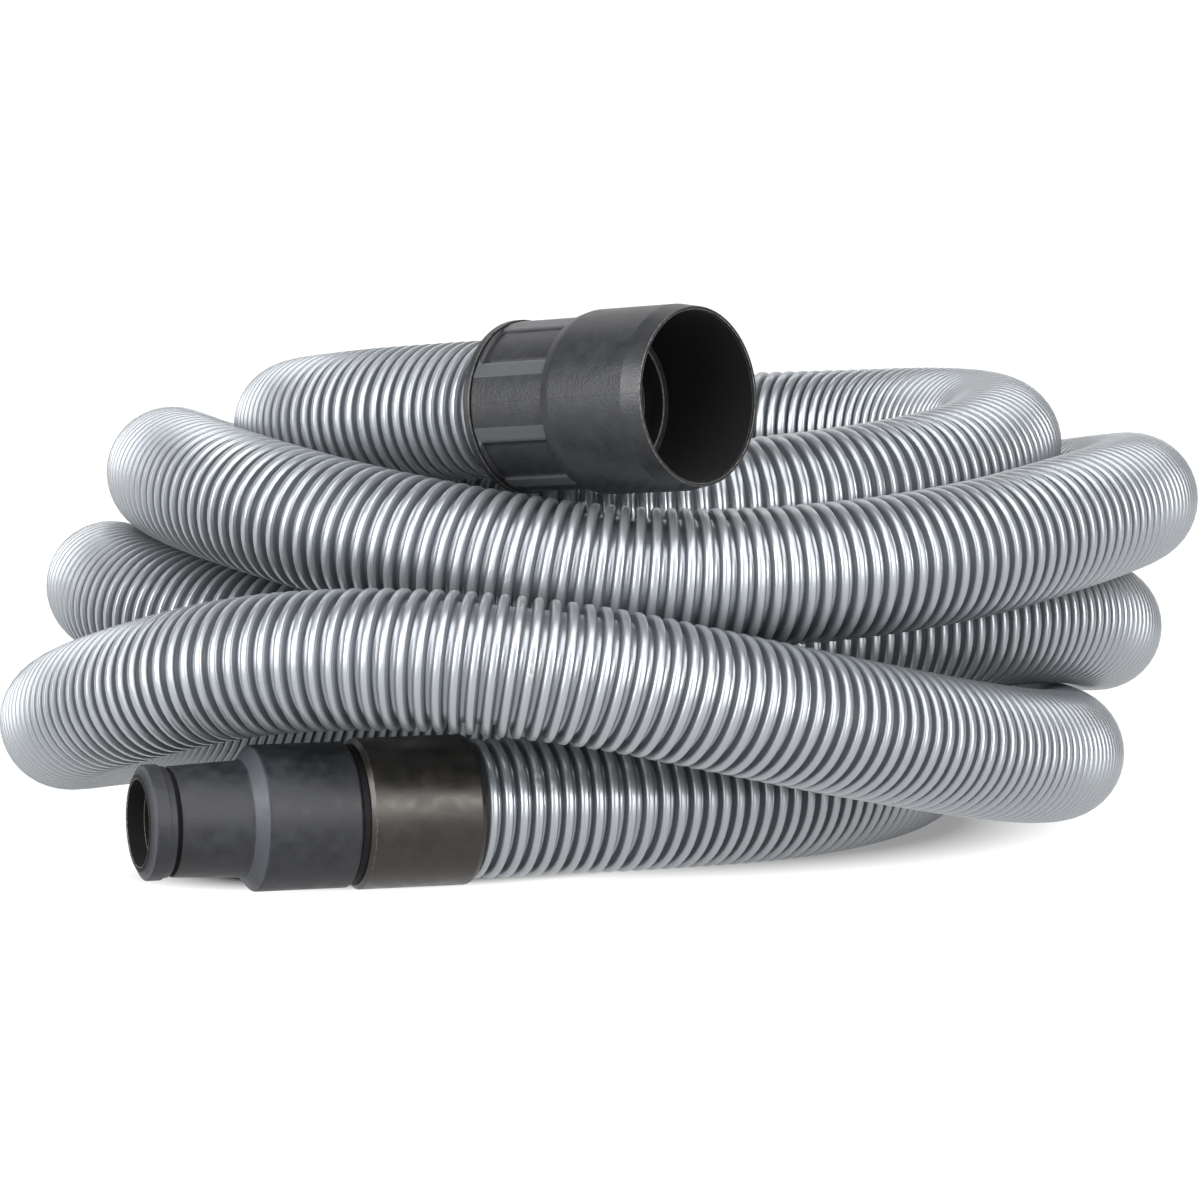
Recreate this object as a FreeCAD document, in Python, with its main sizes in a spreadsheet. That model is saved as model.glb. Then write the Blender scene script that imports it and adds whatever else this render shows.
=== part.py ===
"""Suction hose of a workshop dust extractor, lying in five loose turns.

A ribbed hose ends in two swivel cuffs: a wide one that plugs into the extractor and a stepped
one that plugs on a tool. Millimetres, Z up, the ground at Z = 0.
"""
import FreeCAD, Part
import math
import os
import Sketcher
from FreeCAD import Placement, Rotation, Vector

doc = FreeCAD.newDocument("suction_hose")
sheet = doc.addObject("Spreadsheet::Sheet", "Sizes")

# Driving sizes, in millimetres, degrees and counts
SIZES = (
    ("hose_bore_radius", 17.5, "free radius inside the hose"),
    ("hose_valley_radius", 19.8, "outside radius between two ribs"),
    ("hose_crest_radius", 22, "outside radius on a rib"),
    ("rib_count", 198, "ribs along the whole hose, coarser than the real ones"),
    ("rib_share", 0.62, "part of each pitch that the crest takes"),
    ("rib_flank", 0.08, "part of each pitch that one flank takes"),
    ("ground_flat", 0.5, "depth of the flat where the hose lies on the ground"),
    ("fit_gap", 0.3, "gap between pieces that do not slide on each other"),
    ("running_gap", 0.08, "radial gap of a bearing that turns"),
    ("groove_gap", 0.15, "gap of a ring in its groove"),
    ("machine_body_gap", 0.2, "from the nut's collar to the smooth front part of the machine cuff"),
    ("machine_body_length", 40.8, "smooth front part of the machine cuff"),
    ("machine_body_wall", 2.5, "wall of the smooth front part, round the mouth's bore"),
    ("machine_mouth_step", 2.32, "mouth's bore beyond the cuff's bearing"),
    ("machine_step_wall", 2.5, "wall between the grip and the mouth's bore"),
    ("machine_shoulder_drop", 0.8, "rear edge of the smooth front part below its outside"),
    ("machine_shoulder_length", 3.5, "rounding behind the smooth front part"),
    ("machine_rim_drop", 1.1, "rim at the mouth below the outside"),
    ("machine_chamfer_length", 7, "cone between the rim and the body"),
    ("machine_panel_floor", 1.72, "wall under the sunk panels of the grip"),
    ("machine_bar_height", 1.1, "raised bars of the grip above the panels"),
    ("machine_panel_wall", 0.6, "upright edge of a sunk panel"),
    ("machine_panel_angle", 33, "sunk panel, seen along the axis"),
    ("machine_facet_angle", 11.4, "flat flank on each side of a bar, along the axis"),
    ("machine_panel_count", 4, "sunk panels round the grip"),
    ("machine_frame_width", 3, "rim behind the sunk panels"),
    ("nut_flange_stand", 0.5, "flange that shows behind the grip, proud of its bars"),
    ("nut_flange_width", 2.8, "thickness of that flange"),
    ("nut_flange_edge", 0.8, "chamfer of that flange"),
    ("nut_wall", 1.8, "wall of the nut round the hose"),
    ("nut_depth", 30, "length of hose inside the nut"),
    ("nut_stop_width", 3, "inside collar that the hose ends on"),
    ("nut_nose_length", 3.25, "ring seen in the mouth, in front of the snap ring's groove"),
    ("nut_nose_wall", 2.6, "wall of the ring seen in the mouth"),
    ("machine_ring_width", 1.6, "snap ring on the nut"),
    ("machine_ring_depth", 1.1, "groove of the snap ring"),
    ("machine_ring_stand", 1.7, "snap ring proud of the nut"),
    ("machine_seal_section", 1.4, "round seal in the nut"),
    ("machine_seal_depth", 1.5, "groove of that seal"),
    ("ring_opening_angle", 34, "gap of both snap rings"),
    ("sleeve_wall", 1.35, "wall of the tool end's sleeve round the hose"),
    ("sleeve_depth", 27, "length of hose inside that sleeve"),
    ("sleeve_front_wall", 3.7, "front wall of that sleeve, the nozzle's bearing"),
    ("sleeve_rear_edge", 1.5, "length of the rounded rear edge"),
    ("sleeve_rear_drop", 0.9, "depth of the rounded rear edge"),
    ("sleeve_front_edge", 1.3, "front chamfer"),
    ("tool_gap_width", 2.5, "dark groove between the sleeve and the nozzle"),
    ("tool_seal_wall", 2.48, "height of the flat seal in that groove"),
    ("neck_step", 3.28, "nozzle's bearing below the sleeve's bore"),
    ("neck_wall", 2.22, "wall of that bearing"),
    ("neck_gap", 0.7, "from the hose's end to the nozzle's neck"),
    ("neck_tail", 3.75, "neck behind the snap ring's groove"),
    ("tool_ring_width", 1.6, "snap ring on the nozzle"),
    ("tool_ring_depth", 0.9, "groove of the snap ring"),
    ("tool_ring_gap", 1.08, "from the snap ring to the sleeve's bore"),
    ("nozzle_length", 66.3, "from the groove to the front face"),
    ("nozzle_body_length", 29.9, "wide rear part of the nozzle"),
    ("nozzle_body_drop", 0.8, "wide rear part below the sleeve's outside"),
    ("nozzle_body_edge", 0.8, "chamfer behind the wide rear part"),
    ("nozzle_cone_length", 3.9, "step between the wide and the slim part"),
    ("nozzle_taper", 1, "draft of the slim part, on the radius"),
    ("nozzle_tip_stand", 1.25, "slim part proud of the groove's floor"),
    ("nozzle_wall", 2.2, "wall of the wide and slim parts"),
    ("lip_groove_width", 3.7, "groove behind the lip"),
    ("lip_groove_floor", 2.8, "wall under that groove"),
    ("lip_stand", 2, "lip that holds the tool's clip, proud of the groove's floor"),
    ("lip_width", 4.3, "straight part of the lip"),
    ("lip_chamfer_length", 1.9, "cone in front of the lip"),
    ("nose_wall", 1.3, "front face of the nozzle round its bore"),
    ("nozzle_bore_radius", 13.2, "bore that takes the tool's spigot"),
    ("nozzle_bore_depth", 15, "depth of that bore"),
    ("nozzle_way_step", 1.2, "air way behind that bore, narrower by this"),
    ("machine_turn", -41.5, "heading of the machine cuff, from the X axis"),
    ("machine_tilt", 5, "rise of the machine cuff's mouth"),
    ("machine_roll", 40, "turn of the cuff on its nut, from straight down to a sunk panel"),
    ("machine_x", -28, "rear of the machine cuff"),
    ("machine_y", -129, "rear of the machine cuff"),
    ("machine_z", 148.5, "rear of the machine cuff"),
    ("tool_turn", 198.6, "heading of the tool nozzle, from the X axis"),
    ("tool_x", -45.5, "rear of the tool end's sleeve"),
    ("tool_y", -154.5, "rear of the tool end's sleeve"),
    ("lead_step", 30, "distance of the straight points behind each cuff"),
)

for row, (alias, number, meaning) in enumerate(SIZES, start=1):
    sheet.set("A%d" % row, alias)
    sheet.set("B%d" % row, str(number))
    sheet.set("C%d" % row, meaning)
    sheet.setAlias("B%d" % row, alias)
doc.recompute()


class Size(float):
    """A number that remembers the expression over the sheet that it comes from."""

    def __new__(cls, number, text):
        size = float.__new__(cls, number)
        size.text = text
        return size

    def joined(self, sign, other, number):
        return Size(number, "(%s %s %s)" % (self.text, sign, text_of(other)))

    def __add__(self, other):
        return self.joined("+", other, float(self) + float(other))

    def __sub__(self, other):
        return self.joined("-", other, float(self) - float(other))

    def __truediv__(self, other):
        return self.joined("/", other, float(self) / float(other))

    def __neg__(self):
        return Size(-float(self), "(-%s)" % self.text)


def text_of(number):
    """The expression of a size, or a plain number as text."""
    return number.text if isinstance(number, Size) else repr(float(number))


def size(alias):
    """The size with this name in the sheet."""
    return Size(sheet.get(alias), "Sizes." + alias)


def polar(radius, angle):
    """A corner at a distance and an angle in degrees from the axis."""
    turn = math.radians(float(angle))
    across = Size(float(radius) * math.cos(turn), "%s * cos(%s)" % (text_of(radius), text_of(angle)))
    along = Size(float(radius) * math.sin(turn), "%s * sin(%s)" % (text_of(radius), text_of(angle)))
    return across, along


ZERO = 0.0


def base_plane(body, role):
    """One of a body's own origin planes."""
    for feature in body.Origin.OriginFeatures:
        if feature.Role == role:
            return feature
    raise ValueError("no plane " + role)


def pin_point(sketch, line, corner):
    """Ties a line's first point to its two sizes, measured from the sketch's origin."""
    across, along = corner
    for kind, distance in (("DistanceX", across), ("DistanceY", along)):
        if float(distance) == 0.0:
            axis = -2 if kind == "DistanceX" else -1
            sketch.addConstraint(Sketcher.Constraint("PointOnObject", line, 1, axis))
            continue
        index = sketch.addConstraint(Sketcher.Constraint(kind, -1, 1, line, 1, float(distance)))
        sketch.setExpression("Constraints[%d]" % index, text_of(distance))


def outline(body, name, role, corners, height=None, open_end=False):
    """A sketch of straight lines through the corners, on one of the body's planes."""
    sketch = body.newObject("Sketcher::SketchObject", name)
    sketch.AttachmentSupport = (base_plane(body, role), [""])
    sketch.MapMode = "FlatFace"
    if height is not None:
        sketch.setExpression("AttachmentOffset.Base.z", text_of(height))
    points = [Vector(float(across), float(along), 0) for across, along in corners]
    lines = len(points) - 1 if open_end else len(points)
    for line in range(lines):
        following = (line + 1) % len(points)
        sketch.addGeometry(Part.LineSegment(points[line], points[following]), False)
    for line in range(len(points) - 1):
        following = (line + 1) % len(points)
        if following < lines:
            sketch.addConstraint(Sketcher.Constraint("Coincident", line, 2, following, 1))
    if not open_end:
        sketch.addConstraint(Sketcher.Constraint("Coincident", lines - 1, 2, 0, 1))
    for line in range(lines):
        pin_point(sketch, line, corners[line])
    return sketch


def turned(label, corners, place):
    """A body turned a full circle about its Z axis from corners of (radius, height)."""
    body = doc.addObject("PartDesign::Body", label)
    sketch = outline(body, label + "_outline", "XZ_Plane", corners)
    feature = body.newObject("PartDesign::Revolution", label + "_turning")
    feature.Profile = sketch
    feature.ReferenceAxis = (sketch, ["V_Axis"])
    feature.Angle = 360
    sketch.Visibility = False
    body.Placement = place
    doc.recompute()
    return body


def cuff_place(x, y, z, heading, rise):
    """Stands a piece's Z axis along a cuff's axis, its Y axis level and its X axis down."""
    spin = Rotation(Vector(0, 0, 1), float(heading)) * Rotation(Vector(0, 1, 0), 90 - float(rise))
    return Placement(Vector(float(x), float(y), float(z)), spin)


MACHINE_END = cuff_place(
    size("machine_x"), size("machine_y"), size("machine_z"), size("machine_turn"), size("machine_tilt")
)

# Sizes that more than one piece shares, all from the hose and the walls and gaps round it
crest = size("hose_crest_radius")
fit = size("fit_gap")
running = size("running_gap")
nut_bore = crest + fit
nut_outside = nut_bore + size("nut_wall")
nut_stop_end = size("nut_depth") + size("nut_stop_width")
grip_start = size("nut_flange_width") + fit
cuff_bore = nut_outside + running
panel_radius = cuff_bore + size("machine_panel_floor")
bar_radius = panel_radius + size("machine_bar_height")
body_start = nut_stop_end + size("machine_body_gap")
cuff_length = body_start + size("machine_body_length")
cuff_step = body_start + size("machine_step_wall")
machine_ring_start = cuff_step + fit
machine_ring_floor = nut_outside - size("machine_ring_depth")
machine_groove_end = machine_ring_start + size("machine_ring_width") + size("groove_gap")
nut_length = machine_groove_end + size("nut_nose_length")
seal_floor = nut_outside - size("machine_seal_depth")
seal_start = size("nut_depth") + size("nut_stop_width") / 2 - size("machine_seal_section") / 2
sleeve_bore = crest + fit
sleeve_radius = sleeve_bore + size("sleeve_wall")
neck_radius = sleeve_bore - size("neck_step")
neck_bore = neck_radius - size("neck_wall")
neck_hole = neck_radius + running
neck_start = size("sleeve_depth") + size("neck_gap")
tool_groove_start = neck_start + size("neck_tail")
tool_ring_start = tool_groove_start + size("groove_gap")
tool_ring_end = tool_ring_start + size("tool_ring_width")
tool_ring_floor = neck_radius - size("tool_ring_depth")
sleeve_wall_start = tool_ring_end + fit
sleeve_length = sleeve_wall_start + size("sleeve_front_wall")
nozzle_start = sleeve_length + size("tool_gap_width")

TOOL_END = cuff_place(size("tool_x"), size("tool_y"), sleeve_radius, size("tool_turn"), 0)


def make_machine_nut():
    """Ring on the hose's end: flange, bore for the hose, inside collar, seal and ring grooves."""
    nose_bore = nut_outside - size("nut_nose_wall")
    flange = bar_radius + size("nut_flange_stand")
    edge = size("nut_flange_edge")
    width = size("nut_flange_width")
    seal_end = seal_start + size("machine_seal_section") + size("groove_gap")
    corners = [
        (nut_bore, ZERO),
        (flange - edge, ZERO),
        (flange, edge),
        (flange, width),
        (nut_outside, width),
        (nut_outside, seal_start - size("groove_gap")),
        (seal_floor, seal_start - size("groove_gap")),
        (seal_floor, seal_end),
        (nut_outside, seal_end),
        (nut_outside, machine_ring_start - size("groove_gap")),
        (machine_ring_floor, machine_ring_start - size("groove_gap")),
        (machine_ring_floor, machine_groove_end),
        (nut_outside, machine_groove_end),
        (nut_outside, nut_length),
        (nose_bore, nut_length),
        (nose_bore, nut_stop_end),
        (size("hose_bore_radius"), nut_stop_end),
        (size("hose_bore_radius"), size("nut_depth")),
        (nut_bore, size("nut_depth")),
    ]
    return turned("machine_nut", corners, MACHINE_END)


def make_machine_cuff():
    """Shell that plugs into the extractor: grip behind, smooth body and chamfered mouth in front."""
    mouth = cuff_bore + size("machine_mouth_step")
    outside = mouth + size("machine_body_wall")
    corners = [
        (cuff_bore, grip_start),
        (bar_radius, grip_start),
        (bar_radius, body_start),
        (outside - size("machine_shoulder_drop"), body_start),
        (outside, body_start + size("machine_shoulder_length")),
        (outside, cuff_length - size("machine_chamfer_length")),
        (outside - size("machine_rim_drop"), cuff_length),
        (mouth, cuff_length),
        (mouth, cuff_step),
        (cuff_bore, cuff_step),
    ]
    roll = Placement(Vector(0, 0, 0), Rotation(Vector(0, 0, 1), float(size("machine_roll"))))
    body = turned("machine_cuff", corners, MACHINE_END * roll)
    panel_start = grip_start + size("machine_frame_width")
    half = size("machine_panel_angle") / 2
    flank = half + size("machine_facet_angle")
    wall = panel_radius + size("machine_panel_wall")
    far = bar_radius + size("machine_panel_wall")
    side = polar(bar_radius, flank)[1]
    corners = [
        polar(panel_radius, half),
        polar(wall, half),
        polar(bar_radius, flank),
        (far, side),
        (far, -side),
        polar(bar_radius, -flank),
        polar(wall, -half),
        polar(panel_radius, -half),
    ]
    sketch = outline(body, "grip_panel", "XY_Plane", corners, panel_start, open_end=True)
    floor = Part.Circle(Vector(0, 0, 0), Vector(0, 0, 1), float(panel_radius))
    angle = math.radians(float(half))
    floor_arc = sketch.addGeometry(Part.ArcOfCircle(floor, -angle, angle), False)
    last_line = len(corners) - 2
    last_side = corners[-1][1]
    height = Sketcher.Constraint("DistanceY", -1, 1, last_line, 2, float(last_side))
    index = sketch.addConstraint(height)
    sketch.setExpression("Constraints[%d]" % index, text_of(last_side))
    sketch.addConstraint(Sketcher.Constraint("Coincident", floor_arc, 3, -1, 1))
    sketch.addConstraint(Sketcher.Constraint("Coincident", floor_arc, 1, last_line, 2))
    sketch.addConstraint(Sketcher.Constraint("Coincident", floor_arc, 2, 0, 1))
    doc.recompute()
    panel = body.newObject("PartDesign::Pocket", "grip_panel_cut")
    panel.Profile = sketch
    panel.Reversed = True
    panel.setExpression("Length", text_of(body_start - panel_start))
    sketch.Visibility = False
    before = body.Shape.Volume
    doc.recompute()
    if body.Shape.Volume >= before:
        raise ValueError("the grip panel cuts nothing")
    pattern = body.newObject("PartDesign::PolarPattern", "grip_panels")
    pattern.Originals = [panel]
    pattern.Axis = (sketch, ["N_Axis"])
    pattern.Angle = 360
    pattern.setExpression("Occurrences", "Sizes.machine_panel_count")
    body.Tip = pattern
    doc.recompute()
    return body


def make_snap_ring(label, inside, outside, start, width, place):
    """Open ring of spring plastic in a groove, its gap facing down."""
    corners = [(inside, start), (outside, start), (outside, start + width), (inside, start + width)]
    body = turned(label, corners, place)
    body.Tip.setExpression("Angle", "360 - Sizes.ring_opening_angle")
    doc.recompute()
    return body


def make_machine_seal():
    """Round rubber ring in the nut's seal groove."""
    seal = doc.addObject("Part::Torus", "machine_seal")
    section = size("machine_seal_section") / 2
    seal.setExpression("Radius2", text_of(section))
    seal.setExpression("Radius1", text_of(nut_outside - section))
    middle = seal_start + section
    seal.Placement = MACHINE_END * Placement(Vector(0, 0, float(middle)), Rotation())
    return seal


def make_tool_sleeve():
    """Collar that is screwed on the hose's end and carries the nozzle in its front wall."""
    rear = size("sleeve_rear_edge")
    drop = size("sleeve_rear_drop")
    front = size("sleeve_front_edge")
    corners = [
        (sleeve_bore, ZERO),
        (sleeve_radius - drop, ZERO),
        (sleeve_radius - drop / 4, rear / 3),
        (sleeve_radius, rear),
        (sleeve_radius, sleeve_length - front),
        (sleeve_radius - front, sleeve_length),
        (neck_hole, sleeve_length),
        (neck_hole, sleeve_wall_start),
        (sleeve_bore, sleeve_wall_start),
    ]
    return turned("tool_sleeve", corners, TOOL_END)


def make_tool_seal():
    """Flat rubber ring in the dark groove between the sleeve and the nozzle."""
    end = nozzle_start - fit
    inside = neck_radius + fit
    outside = inside + size("tool_seal_wall")
    corners = [(inside, sleeve_length), (outside, sleeve_length), (outside, end), (inside, end)]
    return turned("tool_seal", corners, TOOL_END)


def make_tool_nozzle():
    """Stepped nozzle: bearing neck, wide body, cone, slim part, groove, lip and front face."""
    front = nozzle_start + size("nozzle_length")
    body_end = nozzle_start + size("nozzle_body_length")
    cone_end = body_end + size("nozzle_cone_length")
    lip_front = front - size("lip_chamfer_length")
    lip_back = lip_front - size("lip_width")
    groove_back = lip_back - size("lip_groove_width")
    bore_back = front - size("nozzle_bore_depth")
    wall = size("nozzle_wall")
    wide = sleeve_radius - size("nozzle_body_drop")
    edge = size("nozzle_body_edge")
    bore = size("nozzle_bore_radius")
    way = bore - size("nozzle_way_step")
    groove_floor = bore + size("lip_groove_floor")
    lip = groove_floor + size("lip_stand")
    tip = groove_floor + size("nozzle_tip_stand")
    slim = tip + size("nozzle_taper")
    ring_front = tool_ring_end + size("groove_gap")
    corners = [
        (neck_bore, neck_start),
        (neck_radius, neck_start),
        (neck_radius, tool_groove_start),
        (tool_ring_floor, tool_groove_start),
        (tool_ring_floor, ring_front),
        (neck_radius, ring_front),
        (neck_radius, nozzle_start),
        (wide - edge, nozzle_start),
        (wide, nozzle_start + edge),
        (wide, body_end),
        (slim, cone_end),
        (tip, groove_back),
        (groove_floor, groove_back),
        (groove_floor, lip_back),
        (lip, lip_back),
        (lip, lip_front),
        (bore + size("nose_wall"), front),
        (bore, front),
        (bore, bore_back),
        (way, bore_back),
        (way, bore_back - wall),
        (slim - wall, bore_back - wall - wall),
        (slim - wall, cone_end),
        (wide - wall, body_end),
        (wide - wall, nozzle_start + wall + wall),
        (neck_bore, nozzle_start + wall),
    ]
    return turned("tool_nozzle", corners, TOOL_END)


# The hose's route: each half turn has its own centre and radius, each twelfth of a turn its height
GROUND = float(crest - size("ground_flat"))
HALF_TURN_CENTRES = (
    (28, -7), (14, 31), (21, -2), (12, 29), (15, -8),
    (1, 63), (-22, 24), (-23, -1), (-26, -53), (-58, 5),
)
HALF_TURN_RADII = (132, 124, 110, 173, 166, 177, 152, 182, 157, 163)
HEIGHTS = (
    134, 129, 124, 121, 123, 127, 127, 121, 116, 112, 107, 99,
    90, 81, 77, 77, 84, 99, 109, 110, 99, 95, 107, 119,
    121, 106, 90, 72, 57, 51, 59, 73, 71, 67, 69, 76,
    80, 66, 49, 34, 24, 21, 23, 33, 53, 75, 75, 55,
    38, 31, 28, GROUND, GROUND, GROUND, GROUND,
)
MACHINE_LEAD_HEIGHTS = (140, 137)
TOOL_LEAD_HEIGHTS = (23, 23)
POINTS_PER_TURN = 12
FIRST_TURN_BEND = 48.5
LAST_TURN_BEND = 71.4


def glide(values, half_turns):
    """Runs smoothly through one value per half turn."""
    index = min(int(half_turns), len(values) - 2)
    u = half_turns - index
    before = values[max(index - 1, 0)]
    first = values[index]
    second = values[index + 1]
    after = values[min(index + 2, len(values) - 1)]
    slope = (second - before) / 2 if index > 0 else second - first
    next_slope = (after - first) / 2 if index + 2 < len(values) else second - first
    blend = u * u * (3 - 2 * u)
    return first + (second - first) * blend + slope * u * (1 - u) ** 2 - next_slope * u * u * (1 - u)


def turn_point(half_turns):
    """A point of the turns in plan, clockwise from the left."""
    angle = math.pi * (1 - half_turns)
    radius = glide(HALF_TURN_RADII, half_turns)
    middle_x = glide([x for x, y in HALF_TURN_CENTRES], half_turns)
    middle_y = glide([y for x, y in HALF_TURN_CENTRES], half_turns)
    return Vector(middle_x + radius * math.cos(angle), middle_y + radius * math.sin(angle), 0)


def level(vector):
    """The same direction without its rise, of length one."""
    flat = Vector(vector.x, vector.y, 0)
    return flat.normalize()


def lead_points(first, first_way, last, last_way, bend, heights):
    """Two points on a smooth bend between two places with given headings."""
    chord = (last - first).Length / math.cos(math.radians(bend / 4)) ** 2
    points = []
    for index, height in enumerate(heights, start=1):
        u = index / (len(heights) + 1)
        plan = first * (2 * u ** 3 - 3 * u ** 2 + 1) + last * (3 * u ** 2 - 2 * u ** 3)
        plan += first_way * (chord * (u ** 3 - 2 * u ** 2 + u)) + last_way * (chord * (u ** 3 - u ** 2))
        points.append(Vector(plan.x, plan.y, height))
    return points


def route_points():
    """Control points of the hose's middle line, from the machine cuff to the tool nozzle."""
    step = float(size("lead_step"))
    machine_way = -MACHINE_END.Rotation.multVec(Vector(0, 0, 1))
    tool_way = TOOL_END.Rotation.multVec(Vector(0, 0, 1))
    machine_rear = MACHINE_END.Base
    tool_rear = TOOL_END.Base
    start = machine_rear - machine_way * float(size("nut_depth"))
    end = tool_rear + tool_way * float(size("sleeve_depth"))
    lead_start = machine_rear + machine_way * (2 * step)
    lead_end = tool_rear - tool_way * (2 * step)
    last = (len(HEIGHTS) - 1) / (POINTS_PER_TURN / 2)
    small = 0.01
    enter_way = (turn_point(small) - turn_point(0)).normalize()
    leave_way = (turn_point(last) - turn_point(last - small)).normalize()
    points = [start, machine_rear, machine_rear + machine_way * step, lead_start]
    points += lead_points(
        Vector(lead_start.x, lead_start.y, 0), level(machine_way), turn_point(0), enter_way,
        FIRST_TURN_BEND, MACHINE_LEAD_HEIGHTS,
    )
    for index, height in enumerate(HEIGHTS):
        point = turn_point(index / (POINTS_PER_TURN / 2))
        points.append(Vector(point.x, point.y, height))
    points += lead_points(
        turn_point(last), leave_way, Vector(lead_end.x, lead_end.y, 0), level(tool_way),
        LAST_TURN_BEND, TOOL_LEAD_HEIGHTS,
    )
    points += [lead_end, tool_rear - tool_way * step, tool_rear, end]
    return points


def route_curve():
    """The hose's middle line: a smooth curve of degree two held at both ends."""
    points = route_points()
    last = len(points) - 2
    curve = Part.BSplineCurve()
    multiplicities = [3] + [1] * (last - 1) + [3]
    curve.buildFromPolesMultsKnots(points, multiplicities, list(range(last + 1)), False, 2)
    return curve


def circle_at(curve, distance, radius):
    """A circle square to the middle line, its X axis always level."""
    parameter = curve.parameterAtDistance(distance, curve.FirstParameter)
    forward = curve.tangent(parameter)[0]
    across = forward.cross(Vector(0, 0, 1)).normalize()
    circle = Part.Wire([Part.Circle(Vector(0, 0, 0), Vector(0, 0, 1), radius).toShape()])
    turn = Rotation(across, forward.cross(across), forward, "ZXY")
    circle.Placement = Placement(curve.value(parameter), turn)
    return circle


def hose_circles(curve):
    """Circles of the ribs, four to a pitch, and of the bore, two to a pitch."""
    length = curve.length()
    count = int(size("rib_count"))
    pitch = length / count
    valley = float(size("hose_valley_radius"))
    flank = float(size("rib_flank"))
    share = float(size("rib_share"))
    crest_radius = float(crest)
    rib = ((0, valley), (flank, crest_radius), (flank + share, crest_radius), (2 * flank + share, valley))
    outside = []
    for index in range(count):
        for part, radius in rib:
            outside.append(circle_at(curve, (index + part) * pitch, radius))
    outside.append(circle_at(curve, length, valley))
    bore = [
        circle_at(curve, index * pitch / 2, float(size("hose_bore_radius")))
        for index in range(2 * count + 1)
    ]
    return outside, bore


def least_gap(curve):
    """Least gap of the hose to itself, on points a tenth of its diameter apart."""
    radius = float(crest)
    count = int(curve.length() / (radius / 5))
    points = curve.discretize(Number=count)
    apart = int(5 * radius / (curve.length() / count))
    gap = curve.length()
    for index, point in enumerate(points):
        for other in points[index + apart:]:
            gap = min(gap, point.distanceToPoint(other) - 2 * radius)
    return gap


def is_flat(face):
    """Tells the end faces of a loft from its sides."""
    return face.Surface.TypeId == "Part::GeomPlane"


def make_hose():
    """One ribbed tube along the whole route, flat where it lies on the ground."""
    curve = route_curve()
    print("hose length %.0f mm, least gap to itself %.2f mm" % (curve.length(), least_gap(curve)))
    outside, bore = hose_circles(curve)
    ribbed = Part.makeLoft(outside, True, True)
    way = Part.makeLoft(bore, True, True)
    faces = [face for face in ribbed.Faces if not is_flat(face)]
    faces += [face.reversed() for face in way.Faces if not is_flat(face)]
    for end in filter(is_flat, ribbed.Faces):
        hole = min(
            filter(is_flat, way.Faces),
            key=lambda face: face.CenterOfMass.distanceToPoint(end.CenterOfMass),
        )
        faces += end.cut(hole).Faces
    tube = Part.Solid(Part.Shell(faces))
    reach = max(HALF_TURN_RADII)
    below = Part.makeBox(4 * reach, 4 * reach, reach, Vector(-2 * reach, -2 * reach, -reach))
    hose = doc.addObject("Part::Feature", "hose")
    hose.Shape = tube.cut(below).Solids[0]
    return hose


def main():
    """Builds every piece, checks it and writes its file."""
    pieces = [
        make_hose(),
        make_machine_nut(),
        make_machine_cuff(),
        make_snap_ring(
            "machine_snap_ring", machine_ring_floor + size("groove_gap"),
            nut_outside + size("machine_ring_stand"), machine_ring_start,
            size("machine_ring_width"), MACHINE_END,
        ),
        make_machine_seal(),
        make_tool_sleeve(),
        make_tool_seal(),
        make_tool_nozzle(),
        make_snap_ring(
            "tool_snap_ring", tool_ring_floor + size("groove_gap"),
            sleeve_bore - size("tool_ring_gap"), tool_ring_start,
            size("tool_ring_width"), TOOL_END,
        ),
    ]
    doc.recompute()
    for item in doc.Objects:
        if "Invalid" in item.State or "Error" in item.State:
            raise ValueError("%s did not compute" % item.Name)
    os.makedirs("parts", exist_ok=True)
    for piece in pieces:
        shape = piece.Shape
        if shape.isNull() or not shape.isValid():
            raise ValueError("%s has no valid shape" % piece.Label)
        shape.exportStep("parts/%s.step" % piece.Label)
        print("%s: %d solid, %.1f cm3" % (piece.Label, len(shape.Solids), shape.Volume / 1000))


main()
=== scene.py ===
"""Suction hose of a workshop dust extractor: the looks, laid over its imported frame.

The hose is one helix of ribs along a smooth spline, made in eight lengths. The cuff, nut, sleeve and
nozzle are turned outlines. Sizes are in millimetres, unless a line says otherwise.
"""
import math

import bpy
import numpy as np
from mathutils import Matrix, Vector


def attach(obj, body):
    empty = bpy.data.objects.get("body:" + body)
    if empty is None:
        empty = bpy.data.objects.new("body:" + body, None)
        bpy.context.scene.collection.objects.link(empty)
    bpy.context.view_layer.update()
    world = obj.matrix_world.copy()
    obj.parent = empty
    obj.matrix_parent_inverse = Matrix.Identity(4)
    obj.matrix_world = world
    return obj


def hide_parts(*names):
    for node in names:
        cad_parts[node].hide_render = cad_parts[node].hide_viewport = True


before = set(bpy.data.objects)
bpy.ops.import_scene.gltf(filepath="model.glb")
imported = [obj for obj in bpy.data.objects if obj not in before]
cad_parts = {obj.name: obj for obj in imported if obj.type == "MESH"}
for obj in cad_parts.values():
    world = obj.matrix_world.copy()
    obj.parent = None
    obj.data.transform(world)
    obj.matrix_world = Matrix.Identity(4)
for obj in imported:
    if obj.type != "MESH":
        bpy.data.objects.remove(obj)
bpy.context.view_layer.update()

MM = 0.001
# A step that is too small to show, in millimetres or half turns
TINY = 0.01

# The two ends: where the hose enters them and where they point
MACHINE_REAR = np.array((-28, -129, 148.5))
MACHINE_TURN = -41.5
MACHINE_TILT = 5
MACHINE_ROLL = 40
TOOL_REAR = np.array((-45.5, -154.5, 23.65))
TOOL_TURN = 198.6
NUT_DEPTH = 30
SLEEVE_DEPTH = 27
LEAD_STEP = 30

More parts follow.
